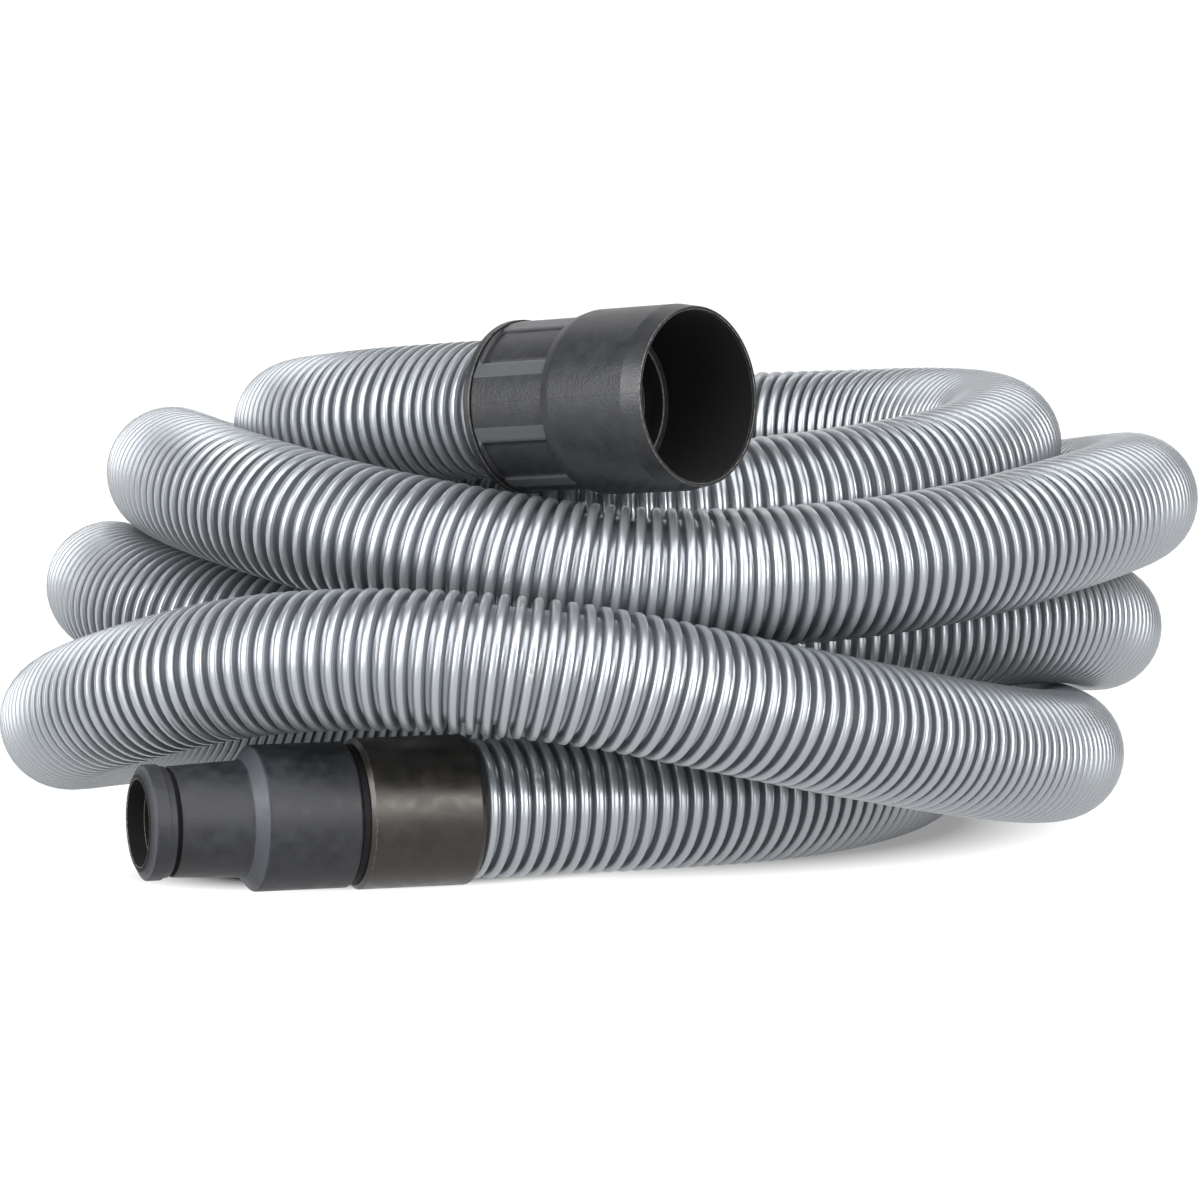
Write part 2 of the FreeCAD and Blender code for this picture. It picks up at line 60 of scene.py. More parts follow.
# The hose's route: each half turn has its own centre and radius, each twelfth of a turn its height.
# Where the hose lies on the ground its ribs give by half a millimetre.
CREST = 22
GROUND = CREST - 0.5
HALF_TURN_CENTRES = (
    (28, -7), (14, 31), (21, -2), (12, 29), (15, -8),
    (1, 63), (-22, 24), (-23, -1), (-26, -53), (-58, 5),
)
HALF_TURN_RADII = (132, 124, 110, 173, 166, 177, 152, 182, 157, 163)
HEIGHTS = (
    134, 129, 124, 121, 123, 127, 127, 121, 116, 112, 107, 99,
    90, 81, 77, 77, 84, 99, 109, 110, 99, 95, 107, 119,
    121, 106, 90, 72, 57, 51, 59, 73, 71, 67, 69, 76,
    80, 66, 49, 34, 24, 21, 23, 33, 53, 75, 75, 55,
    38, 31, 28, GROUND, GROUND, GROUND, GROUND,
)
MACHINE_LEAD_HEIGHTS = (140, 137)
TOOL_LEAD_HEIGHTS = (23, 23)
POINTS_PER_TURN = 12
FIRST_TURN_BEND = 48.5
LAST_TURN_BEND = 71.4
POINTS_PER_SPAN = 32

# The hose itself: a left-handed helix of ribs round a smooth bore
RIB_PITCHES = 937
FIRST_CREST = 0.5
SECTIONS = 8
TURNS_PER_SECTION = 117
AROUND = 40
BORE = 17.5
# Half a rib and the seam of the wound strip behind its crest: distance from the crest and radius
FRONT_OF_RIB = (
    (0, 21.98), (0.5, 21.97), (0.98, 21.73), (1.34, 21.32),
    (1.55, 20.75), (1.6, 19.3), (1.7, 18.66), (1.97, 18.38),
)
STRIP_SEAM = ((-0.66, 21.97), (-0.82, 21.80), (-0.97, 21.88))
# The rise that the bore and the cut ends take: it paints them with the flanks' darker shade
FLANK_SHADE_RISE = 0.3

# The baking map and the bands of it that the hose's ribs, bore and cut ends take
BAKE_MAP = "OFBake"
WHOLE_MAP = ((0, 0), (1, 1))
RIB_BAND = ((0, 0), (1, 0.9))
BORE_BAND = ((0, 0.91), (1, 0.99))
CUT_START = 0.995
CUT_BAND = ((0, CUT_START), (1, 1))


def linear(colour):
    """An sRGB hex colour as linear red, green, blue and one."""
    parts = np.array([int(colour[index:index + 2], 16) for index in (1, 3, 5)]) / 255
    low = parts / 12.92
    high = ((parts + 0.055) / 1.055) ** 2.4
    return (*np.where(parts <= 0.04045, low, high), 1)


def direction(turn, tilt):
    """Unit vector at a heading from the X axis and a rise, both in degrees."""
    turn, tilt = math.radians(turn), math.radians(tilt)
    level = math.cos(tilt)
    return np.array((level * math.cos(turn), level * math.sin(turn), math.sin(tilt)))


def cuff_frame(rear, turn, tilt, roll=0):
    """A cuff's rear and its axes: Z along the cuff, X down and Y level, both then rolled about Z."""
    z = direction(turn, tilt)
    y = direction(turn + 90, 0)
    x = np.cross(y, z)
    roll = math.radians(roll)
    return rear, np.array((
        x * math.cos(roll) + y * math.sin(roll), y * math.cos(roll) - x * math.sin(roll), z,
    ))


MACHINE = cuff_frame(MACHINE_REAR, MACHINE_TURN, MACHINE_TILT)
MACHINE_CUFF = cuff_frame(MACHINE_REAR, MACHINE_TURN, MACHINE_TILT, MACHINE_ROLL)
TOOL = cuff_frame(TOOL_REAR, TOOL_TURN, 0)


def glide(values, half_turns):
    """Runs through one value per half turn, with slopes of half the step between the neighbours.

    With u from 0 to 1 between two values it is the first, plus their step times u squared times
    (3 - 2u), plus the first slope times u times (1 - u) squared, less the second slope times u squared
    times (1 - u).
    """
    values = np.array(values, float)
    slopes = np.gradient(values, axis=0)
    index = np.minimum(half_turns.astype(int), len(values) - 2)
    u = (half_turns - index)[:, None]
    first, second = values[index], values[index + 1]
    blend = u * u * (3 - 2 * u)
    leaving = slopes[index] * u * (1 - u) ** 2
    arriving = slopes[index + 1] * u * u * (1 - u)
    return first + (second - first) * blend + leaving - arriving


def turn_points(half_turns):
    """Points of the turns in plan, clockwise from the left: centre plus radius at the angle."""
    half_turns = np.atleast_1d(np.array(half_turns, float))
    angle = math.pi * (1 - half_turns)
    radius = glide([[radius] for radius in HALF_TURN_RADII], half_turns)
    spoke = np.stack((np.cos(angle), np.sin(angle)), 1)
    return glide(HALF_TURN_CENTRES, half_turns) + radius * spoke


def heading(vector):
    """A vector's direction in plan, of length one."""
    return vector[:2] / np.linalg.norm(vector[:2])


def lead_points(first, first_way, last, last_way, bend, heights):
    """Points on a cubic between two places with given headings, at the given heights.

    The headings are as long as the chord over the squared cosine of a quarter of the bend, which keeps
    the cubic near an arc.
    """
    reach = np.linalg.norm(last - first) / math.cos(math.radians(bend / 4)) ** 2
    u = (np.arange(len(heights)) + 1)[:, None] / (len(heights) + 1)
    plan = first * (2 * u ** 3 - 3 * u ** 2 + 1) + last * (3 * u ** 2 - 2 * u ** 3)
    leaving = first_way * reach * (u ** 3 - 2 * u ** 2 + u)
    arriving = last_way * reach * (u ** 3 - u ** 2)
    return np.column_stack((plan + leaving + arriving, heights))


def route_points():
    """Control points of the hose's middle line, from the machine cuff to the tool nozzle."""
    machine_way = -MACHINE[1][2]
    tool_way = TOOL[1][2]
    lead_start = MACHINE_REAR + machine_way * 2 * LEAD_STEP
    lead_end = TOOL_REAR - tool_way * 2 * LEAD_STEP
    half_turns = np.arange(len(HEIGHTS)) / (POINTS_PER_TURN / 2)
    turns = turn_points(half_turns)
    enter = turn_points((0, TINY))
    leave = turn_points((half_turns[-1] - TINY, half_turns[-1]))
    machine_lead = lead_points(
        lead_start[:2], heading(machine_way), turns[0], heading(enter[1] - enter[0]),
        FIRST_TURN_BEND, MACHINE_LEAD_HEIGHTS,
    )
    tool_lead = lead_points(
        turns[-1], heading(leave[1] - leave[0]), lead_end[:2], heading(tool_way),
        LAST_TURN_BEND, TOOL_LEAD_HEIGHTS,
    )
    return np.vstack((
        MACHINE_REAR - machine_way * NUT_DEPTH, MACHINE_REAR,
        MACHINE_REAR + machine_way * LEAD_STEP, lead_start, machine_lead,
        np.column_stack((turns, HEIGHTS)), tool_lead, lead_end,
        TOOL_REAR - tool_way * LEAD_STEP, TOOL_REAR, TOOL_REAR + tool_way * SLEEVE_DEPTH,
    ))


class Line:
    """The hose's middle line, read from a smooth spline: places and axes at any distance along it."""

    def __init__(self, controls):
        curve = bpy.data.curves.new("hose_route", "CURVE")
        curve.dimensions = "3D"
        spline = curve.splines.new("NURBS")
        spline.points.add(len(controls) - 1)
        weighted = np.column_stack((controls * MM, np.ones(len(controls))))
        spline.points.foreach_set("co", weighted.ravel())
        spline.order_u = 3
        spline.use_endpoint_u = True
        spline.resolution_u = POINTS_PER_SPAN
        carrier = bpy.data.objects.new("hose_route", curve)
        mesh = bpy.data.meshes.new_from_object(carrier)
        self.points = np.empty(3 * len(mesh.vertices))
        mesh.vertices.foreach_get("co", self.points)
        self.points = self.points.reshape(-1, 3) / MM
        bpy.data.objects.remove(carrier)
        bpy.data.curves.remove(curve)
        bpy.data.meshes.remove(mesh)
        steps = np.linalg.norm(np.diff(self.points, axis=0), axis=1)
        self.distances = np.concatenate(((0,), np.cumsum(steps)))
        self.ways = np.gradient(self.points, self.distances, axis=0)
        self.length = self.distances[-1]

    def read(self, table, distance):
        """A table's rows at these distances, in between by straight steps."""
        return np.stack([np.interp(distance, self.distances, column) for column in table.T], -1)

    def axes(self, distance):
        """Place, forward, level across and up at these distances."""
        forward = self.read(self.ways, distance)
        forward /= np.linalg.norm(forward, axis=-1, keepdims=True)
        across = np.cross(forward, (0, 0, 1))
        across /= np.linalg.norm(across, axis=-1, keepdims=True)
        return self.read(self.points, distance), forward, across, np.cross(across, forward)


def new_mesh(name, points, faces, face_maps):
    """A piece from points and groups of faces with as many corners, each group with its map corners."""
    mesh = bpy.data.meshes.new(name)
    corners = np.concatenate([group.ravel() for group in faces])
    sizes = np.concatenate([np.full(len(group), group.shape[1]) for group in faces])
    mesh.vertices.add(len(points))
    mesh.vertices.foreach_set("co", (points * MM).astype(np.float32).ravel())
    mesh.loops.add(len(corners))
    mesh.loops.foreach_set("vertex_index", corners.astype(np.int32))
    mesh.polygons.add(len(sizes))
    mesh.polygons.foreach_set("loop_start", (np.cumsum(sizes) - sizes).astype(np.int32))
    mesh.polygons.foreach_set("use_smooth", np.ones(len(sizes), bool))
    layer = mesh.uv_layers.new(name=BAKE_MAP)
    map_corners = np.concatenate([group.reshape(-1, 2) for group in face_maps])
    layer.uv.foreach_set("vector", map_corners.astype(np.float32).ravel())
    mesh.update(calc_edges=True)
    mesh.validate()
    piece = bpy.data.objects.new(name, mesh)
    bpy.context.scene.collection.objects.link(piece)
    return piece


def mark(piece, name, values):
    """Gives each point of a piece a number that its material reads by name."""
    attribute = piece.data.attributes.new(name, "FLOAT", "POINT")
    attribute.data.foreach_set("value", values.astype(np.float32).ravel())


def cells(grid):
    """The four corners of each cell of a grid, in the order that a face takes them."""
    return np.stack((grid[:-1, :-1], grid[1:, :-1], grid[1:, 1:], grid[:-1, 1:]), 2)


def quads(rows):
    """Faces between neighbouring rows and columns of an index grid."""
    return cells(rows).reshape(-1, 4)


def quad_maps(rows, columns, low, high):
    """Map corners of such faces, spread evenly over a box of the map."""
    u = np.linspace(low[0], high[0], rows)[:, None].repeat(columns, 1)
    v = np.linspace(low[1], high[1], columns)[None].repeat(rows, 0)
    return cells(np.stack((u, v), -1)).reshape(-1, 4, 2)


def helix_index(turns, rows_per_turn, first):
    """Index grid of a helix: its last column is its first column, one turn on.

    Past the grid's end that column has points of its own, which come after the grid's.
    """
    last = turns * rows_per_turn
    grid = first + np.arange((last + 1) * AROUND).reshape(last + 1, AROUND)
    beyond = grid[-1, -1] + 1 + np.arange(rows_per_turn)
    closing = np.concatenate((grid[rows_per_turn:, 0], beyond))
    return np.column_stack((grid, closing))


def helix_points(line, start, turns, offsets, radii):
    """Points of a helix, with one row for each offset and radius of every turn.

    A row's crest is at the start plus its number of whole turns and half a pitch, plus the column's
    share of one pitch more. From the line's place there the point lies forward by the offset, and out
    by the radius at the column's angle.
    """
    count = len(offsets)
    rows = np.arange(turns * count + 1 + count)
    pitch = line.length / RIB_PITCHES
    columns = np.arange(AROUND)
    distance = start + pitch * (rows[:, None] // count + FIRST_CREST + columns / AROUND)
    place, forward, across, up = line.axes(distance)
    angle = columns * math.tau / AROUND
    out = across * np.cos(angle)[:, None] + up * np.sin(angle)[:, None]
    offset, radius = offsets[rows % count][:, None, None], radii[rows % count][:, None, None]
    points = place + forward * offset + out * radius
    grid = points[:turns * count + 1].reshape(-1, 3)
    return np.vstack((grid, points[turns * count + 1:, 0]))


def hose_section(line, number):
    """One length of hose: ribs with the seam of their strip, bore, and a helical cut at each end.

    Points that would be under the ground are raised to it. The mark rise is 0 in a groove and 1 on a
    crest, by radius. The bore and the last points of the cut take a flank's rise, so that the material
    paints them with the same painted shade as the flanks.
    """
    back_of_rib = [(-x, r) for x, r in FRONT_OF_RIB[1:]]
    offsets, radii = np.array(sorted((*back_of_rib, *STRIP_SEAM, *FRONT_OF_RIB))).T
    rows_per_turn = len(offsets)
    start = line.length / RIB_PITCHES * TURNS_PER_SECTION * number
    outside = helix_points(line, start, TURNS_PER_SECTION, offsets, radii)
    inside = helix_points(line, start, TURNS_PER_SECTION, offsets[:1], np.array((float(BORE),)))
    points = np.vstack((outside, inside))
    points[:, 2] = np.maximum(points[:, 2], 0)
    ribs = helix_index(TURNS_PER_SECTION, rows_per_turn, 0)
    bore = helix_index(TURNS_PER_SECTION, 1, len(outside))
    start_cut = np.stack((bore[0], ribs[0]))
    end_cut = np.stack((ribs[-1], bore[-1]))
    # The helix begins and ends in a step of one pitch, closed by a face across the wall
    start_step = np.concatenate((bore[:2, 0], ribs[rows_per_turn::-1, 0]))[None]
    end_step = np.concatenate((ribs[-rows_per_turn - 1:, -1], bore[:-3:-1, -1]))[None]
    faces = [
        quads(ribs), quads(bore[:, ::-1]), quads(start_cut), quads(end_cut), start_step, end_step,
    ]
    maps = [
        quad_maps(*ribs.shape, *RIB_BAND),
        quad_maps(*bore.shape, *BORE_BAND),
        quad_maps(*start_cut.shape, *CUT_BAND),
        quad_maps(*end_cut.shape, *CUT_BAND),
        np.full((1, start_step.size, 2), CUT_START),
        np.full((1, end_step.size, 2), CUT_START),
    ]
    piece = new_mesh("hose_part_%d" % (number + 1), points, faces, maps)
    rise = np.full(len(points), FLANK_SHADE_RISE)
    rows = np.arange(len(outside) - rows_per_turn) // AROUND
    rise[:len(rows)] = (radii[rows % rows_per_turn] - radii.min()) / np.ptp(radii)
    mark(piece, "rise", rise)
    return piece


# The most that a softened corner takes of its shorter side
CUT_ROOM = 0.45
# How far past the corner's ends the next points are, which keep the sides straight: a share of its
# cut and a little more, but at most a share of what is left of the side
GUARD_SHARE = 0.5
GUARD_MORE = 0.05
GUARD_ROOM = 0.3
CORNER_STEPS = 5
# Columns round a turned piece that has no angles of its own
COLUMNS = 192


def soften(corners):
    """A closed outline whose corners are short parabolas that touch both sides.

    A corner is its distance along, radius and rounding, then its wear if it has any: how much lighter
    its edge is painted, partly for real rubbing and partly as a painted highlight. A parabola starts at
    the rounding over the tangent of half the corner's angle, and is the sum of its start, the corner
    and its end times (1 - u) squared, 2u(1 - u) and u squared. The second result is the corner's wear
    times 4u(1 - u), and 0 on the sides between.
    """
    corners = np.array([(*corner, 0)[:4] for corner in corners], float)
    point, rounding, wear_and_highlight = corners[:, :2], corners[:, 2:3], corners[:, 3:]
    back = np.roll(point, 1, 0) - point
    on = np.roll(point, -1, 0) - point
    back_run = np.linalg.norm(back, axis=1, keepdims=True)
    on_run = np.linalg.norm(on, axis=1, keepdims=True)
    back, on = back / back_run, on / on_run
    shorter = np.minimum(back_run, on_run)
    half = np.arccos(np.clip((back * on).sum(1, keepdims=True), -1, 1)) / 2
    cut = np.minimum(rounding / np.tan(half), CUT_ROOM * shorter)
    guard = np.minimum(GUARD_SHARE * cut + GUARD_MORE, GUARD_ROOM * (shorter - cut))
    u = np.linspace(0, 1, CORNER_STEPS)[None, :, None]
    curve = (1 - u) ** 2 * (point + cut * back)[:, None]
    curve = curve + 2 * u * (1 - u) * point[:, None] + u ** 2 * (point + cut * on)[:, None]
    rows = np.concatenate((
        (point + (cut + guard) * back)[:, None], curve, (point + (cut + guard) * on)[:, None],
    ), 1)
    hump = np.concatenate(((0,), 4 * u.ravel() * (1 - u.ravel()), (0,)))
    return rows.reshape(-1, 2), (wear_and_highlight * hump).ravel()


def lathe(name, place, corners, angles=None, reshape=None, bore=None):
    """A turned piece: its softened outline carried round the Z axis of its place.

    A point is the rear, plus its distance along times Z, plus its radius times the cosine of its angle
    times X and the sine times Y. The mark edge is the outline's wear, which the material paints
    lighter, partly as real rubbing and partly as a painted highlight. The mark facet is what reshape
    gives with the new radii, or 0; the material paints a sheen where it is 1. Past the bore's start and
    inside its radius it is the wear less 1, where the material paints shade.
    """
    outline, edge = soften(corners)
    if angles is None:
        angles = np.arange(COLUMNS) * math.tau / COLUMNS
    along = outline[:, 0][:, None].repeat(len(angles), 1)
    radius = outline[:, 1][:, None].repeat(len(angles), 1)
    edge = edge[:, None].repeat(len(angles), 1)
    facet = np.zeros_like(radius)
    if reshape is not None:
        radius, facet = reshape(along, radius, angles[None])
    if bore is not None:
        start, inside = bore
        facet = np.where((radius < inside) & (along > start), edge - 1, facet)
    rear, (x, y, z) = place
    points = rear + along[..., None] * z + radius[..., None] * (
        np.cos(angles)[:, None] * x + np.sin(angles)[:, None] * y
    )
    index = np.arange(along.size).reshape(along.shape)
    index = np.vstack((index, index[:1]))
    index = np.column_stack((index, index[:, 0])).T
    maps = quad_maps(*index.shape, *WHOLE_MAP)
    piece = new_mesh(name, points.reshape(-1, 3), [quads(index)], [maps])
    mark(piece, "edge", edge)
    mark(piece, "facet", facet)
    return piece


# The machine end, along its axis from the nut's flange
CUFF_START = 3.1
FACET_START = 3
PANEL_START = 4.4
BODY_START = 33.2
CUFF_END = 74
BAR_RADIUS = 27
PANEL_RADIUS = 25.9
PANEL_WALL = 26.5
PANEL_HALF = 16.5
GRIP_OUTSIDE = PANEL_RADIUS - 0.5
FACET_END = 27.9
BAR_MIDDLE = 45
PARTING_HALF = 0.3
PARTING_HEIGHT = 0.05
# Where each bore's dull finish and painted shade start along the axis, and the radius that they stay
# inside
CUFF_BORE = (35, 26.7)
NUT_BORE = (33.5, 21.6)
NOZZLE_BORE = (42, 16.8)
# The nozzle's surfaces with a painted sheen, its cone and its nose's chamfer: from, to, and the radius
# that they stay outside
CONE = (69.9, 73.3, 18.2)
NOSE = (104.3, 106, 14)


def grip_angles():
    """Columns of the cuff: pairs at each edge of a panel, five on a bar's middle, even between them."""
    near = 0.3
    side = np.concatenate((
        np.linspace(0, PANEL_HALF - near, 6),
        np.linspace(PANEL_HALF + near, FACET_END - near, 5),
        np.linspace(FACET_END + near, BAR_MIDDLE - 2 * PARTING_HALF, 5),
        (BAR_MIDDLE - PARTING_HALF, BAR_MIDDLE),
    ))
    quarter = np.concatenate((side, 90 - side[-2:0:-1]))
    return np.radians(np.concatenate([quarter + turn for turn in (0, 90, 180, 270)]))


def grip(along, radius, angle):
    """Sinks four panels and raises the mould's parting line along two of the bars.

    By the angle from a panel's middle the radius is the panel's floor, a flat facet, then the bar. The
    facet is the straight line between its two ends: the distance of that line from the axis, over the
    cosine of the angle from its normal. The second result is 1 on the facets, which their material
    paints with a lighter sheen.
    """
    off = np.abs((np.degrees(angle) + 45) % 90 - 45)
    wall = np.radians(PANEL_HALF)
    bar = np.radians(FACET_END)
    one = np.array((PANEL_WALL * math.cos(wall), PANEL_WALL * math.sin(wall)))
    two = np.array((BAR_RADIUS * math.cos(bar), BAR_RADIUS * math.sin(bar)))
    run = two - one
    normal = np.array((run[1], -run[0]))
    turn = np.radians(off)
    facet = (one @ normal) / (np.cos(turn) * normal[0] + np.sin(turn) * normal[1])
    shape = np.where(off < PANEL_HALF, PANEL_RADIUS, np.where(off < FACET_END, facet, BAR_RADIUS))
    start = np.where(off < PANEL_HALF, PANEL_START, FACET_START)
    sunk = (along > start) & (along < BODY_START + TINY) & (radius > GRIP_OUTSIDE)
    parting = np.isclose(np.degrees(angle) % 180, BAR_MIDDLE) & (radius > PANEL_WALL)
    # The facets that their material paints with a lighter sheen
    sheen_facets = sunk & (off > PANEL_HALF) & (off < FACET_END)
    shaped = np.where(sunk, np.minimum(radius, shape), radius)
    return shaped + PARTING_HEIGHT * parting, sheen_facets.astype(float)


def make_machine_cuff():
    """Cuff that plugs into the extractor: grip, shoulder, smooth body, chamfer and mouth.

    The third and fourth corners are nearly straight, and only give rows at the start of the panels.
    """
    corners = (
        (CUFF_START, 24.18, 0.3), (CUFF_START, BAR_RADIUS, 0.4),
        (PANEL_START - 0.05, BAR_RADIUS, 0.1), (PANEL_START + 0.15, BAR_RADIUS - 0.01, 0.1),
        (BODY_START, BAR_RADIUS, 0.1), (BODY_START, 28.2, 0.5), (36.7, 29, 6), (67, 29, 0.6),
        (CUFF_END, 27.9, 0.35, 0.6), (CUFF_END, 26.85, 0.2, 1), (73, 26.85, 0.1),
        (73, 26.5, 0.2), (35.7, 26.5, 0.3), (35.7, 24.18, 0.3),
    )
    return lathe("machine_cuff_shell", MACHINE_CUFF, corners, grip_angles(), grip, CUFF_BORE)


def make_machine_nut():
    """Ring on the hose's end: flange behind the grip, collar and nose deep in the mouth."""
    corners = (
        (0, 22.3, 0.3), (0, 27.5, 0.7, 0.3), (2.8, 27.5, 0.3, 0.5), (2.8, 24.1, 0.2),
        (41, 24.1, 0.3), (41, 21.5, 0.6, 0.4), (33, 21.5, 0.3), (33, 17.5, 0.3),
        (30, 17.5, 0.3), (30, 22.3, 0.1),
    )
    return lathe("machine_nut_ring", MACHINE, corners, bore=NUT_BORE)


def make_tool_sleeve():
    """Collar on the hose's other end, with a rounded rear and a front chamfer painted lighter, partly
    as rubbing and partly as a painted highlight.
    """
    corners = (
        (0, 22.3, 0.2), (0, 22.9, 0.3), (1.5, 23.65, 1.5), (35.9, 23.65, 0.25, 0.7),
        (37.2, 22.35, 0.25), (37.2, 19.1, 0.1), (33.5, 19.1, 0.1), (33.5, 22.3, 0.2),
    )
    return lathe("tool_sleeve_shell", TOOL, corners)


def mark_painted_sheen(along, radius, angle):
    """Marks the nozzle's cone and its nose's chamfer as facets all round, for a painted sheen, and
    keeps every radius.
    """
    painted_sheen = np.zeros(radius.shape)
    for start, end, outside in (CONE, NOSE):
        painted_sheen[(along > start) & (along < end) & (radius > outside)] = 1
    return radius, painted_sheen


def make_tool_nozzle():
    """Stepped nozzle: bearing neck, wide body, cone, slim part, groove, lip, lead-in and bore."""
    corners = (
        (27.7, 19.02, 0.2), (39.7, 19.02, 0.1), (39.7, 22.05, 0.2), (40.5, 22.85, 0.4),
        (69.6, 22.85, 1.2), (73.5, 18.25, 1.2), (96.1, 17.25, 0.5), (96.1, 16, 0.2),
        (97.6, 16, 0.2), (97.6, 17.25, 0.25), (99.8, 17.5, 0.1), (99.8, 18, 0.25),
        (104.1, 18, 0.7), (106, 14.5, 0.6), (106, 13.6, 0.3, 1), (100.5, 13.6, 0.1),
        (100.5, 13.2, 0.15, 1), (91, 13.2, 0.2), (91, 12, 0.3), (88.8, 12, 0.3),
        (86.6, 16.05, 0.3), (73.5, 16.05, 0.3), (69.6, 20.65, 0.3), (44.1, 20.65, 0.3),
        (41.9, 16.8, 0.3), (27.7, 16.8, 0.3),
    )
    return lathe("tool_nozzle_shell", TOOL, corners, reshape=mark_painted_sheen, bore=NOZZLE_BORE)


def add(tree, kind, settings=None, links=None):
    """Adds a node of one kind with its settings and links.

    A setting is the value of a socket, by name or number, a property of the node, or a ramp's stops. A
    link feeds a socket, by name or number, from another node's output.
    """
    node = tree.nodes.new(kind)
    for name, value in (settings or {}).items():
        if name == "stops":
            elements = node.color_ramp.elements
            for element, (position, colour) in zip((elements[0], elements[1]), value):
                element.position, element.color = position, linear(colour)
            for position, colour in value[2:]:
                elements.new(position).color = linear(colour)
        elif isinstance(name, int) or name in node.inputs:
            node.inputs[name].default_value = value
        else:
            setattr(node, name, value)
    for name, source in (links or {}).items():
        tree.links.new(source, node.inputs[name])
    return node


def material(build):
    """A new material, named for the function that builds its nodes and ends in its shader."""
    made = bpy.data.materials.new(build.__name__)
    made.use_nodes = True
    tree = made.node_tree
    tree.nodes.clear()
    shader = build(tree)
    add(tree, "ShaderNodeOutputMaterial", links={"Surface": shader.outputs["BSDF"]})
    return made


def per_metre(size):
    """A noise's scale for blobs of a size in millimetres."""
    return 1 / (size * MM)


# Where the hose has been rubbed: places, how far the marks reach, and the share of that rubbed most
RUBBED = (
    ((-33, -177.5, 101), 6), ((-26, -204, 92), 7), ((-27, -214, 84), 6), ((-25, -219, 73), 5),
    ((-24, -165.5, 37), 8), ((-17, -166, 31), 5),
)
RUBBED_MOST = 0.3
RUBBED_ROUGHER = 0.3


def silver_polyolefin(tree):
    """Soft polyolefin with silver pigment, wound from a moulded strip.

    It gives a metallic satin with clean, soft-edged gloss that varies over 16 mm. The flanks between
    the ribs, the bore and the cut ends are painted darker, as shade, by the mark rise. The crests are
    roughened and whitened in a few places where the hose was rubbed, by scratches that are drawn as
    flecks of 1.6 mm to show.
    """
    place = add(tree, "ShaderNodeTexCoord").outputs["Object"]
    cloud = add(
        tree, "ShaderNodeTexNoise", {"Scale": per_metre(16), "Detail": 3}, {"Vector": place},
    )
    roughness = add(
        tree, "ShaderNodeMapRange", {"To Min": 0.28, "To Max": 0.36},
        {"Value": cloud.outputs["Fac"]},
    )
    rise = add(tree, "ShaderNodeAttribute", {"attribute_name": "rise"}).outputs["Fac"]
    # Painted shade: by rise, the flanks and the bore and cut ends are darker than the crests and the
    # groove floors
    colour = add(
        tree, "ShaderNodeValToRGB",
        {
            "stops": (
                (0, "#94989c"), (0.1, "#7b7f84"), (0.7, "#84888c"), (0.88, "#909498"),
                (1, "#94989c"),
            ),
        },
        {"Fac": rise},
    )
    rubbed = None
    for centre, reach in RUBBED:
        away = add(
            tree, "ShaderNodeVectorMath",
            {"operation": "DISTANCE", 1: [value * MM for value in centre]}, {0: place},
        )
        near = add(
            tree, "ShaderNodeMapRange",
            {"From Min": reach * MM, "From Max": RUBBED_MOST * reach * MM},
            {"Value": away.outputs["Value"]},
        ).outputs["Result"]
        if rubbed is not None:
            near = add(
                tree, "ShaderNodeMath", {"operation": "MAXIMUM"}, {0: rubbed, 1: near},
            ).outputs["Value"]
        rubbed = near
    flecks = add(
        tree, "ShaderNodeTexNoise", {"Scale": per_metre(1.6), "Detail": 5}, {"Vector": place},
    )
    spotted = add(
        tree, "ShaderNodeMapRange", {"From Min": 0.48, "From Max": 0.62},
        {"Value": flecks.outputs["Fac"]},
    )
    crest = add(tree, "ShaderNodeMapRange", {"From Min": 0.8, "From Max": 0.95}, {"Value": rise})
    for source in (spotted, crest):
        rubbed = add(
            tree, "ShaderNodeMath", {"operation": "MULTIPLY"},
            {0: rubbed, 1: source.outputs["Result"]},
        ).outputs["Value"]
    worn_colour = add(
        tree, "ShaderNodeMixRGB", {"Color2": linear("#a8a5a1")},
        {"Fac": rubbed, "Color1": colour.outputs["Color"]},
    )
    worn_roughness = add(
        tree, "ShaderNodeMath",
        {"operation": "MULTIPLY_ADD", "use_clamp": True, 1: RUBBED_ROUGHER},
        {0: rubbed, 2: roughness.outputs["Result"]},
    )
    scratched = add(
        tree, "ShaderNodeBump", {"Strength": 0.3, "Distance": 0.2 * MM}, {"Height": rubbed},
    )
    return add(
        tree, "ShaderNodeBsdfPrincipled", {"Metallic": 0.68, "IOR": 1.5},
        {
            "Base Color": worn_colour.outputs["Color"],
            "Roughness": worn_roughness.outputs["Value"],
            "Normal": scratched.outputs["Normal"],
        },
    )


# The dark plastics: an edge's lighter colour, partly real rubbing and partly a painted highlight, and
# the painted shade in a bore
EDGE_WEAR_AND_HIGHLIGHT = "#75716b"
BORE_SHADE = "#060606"


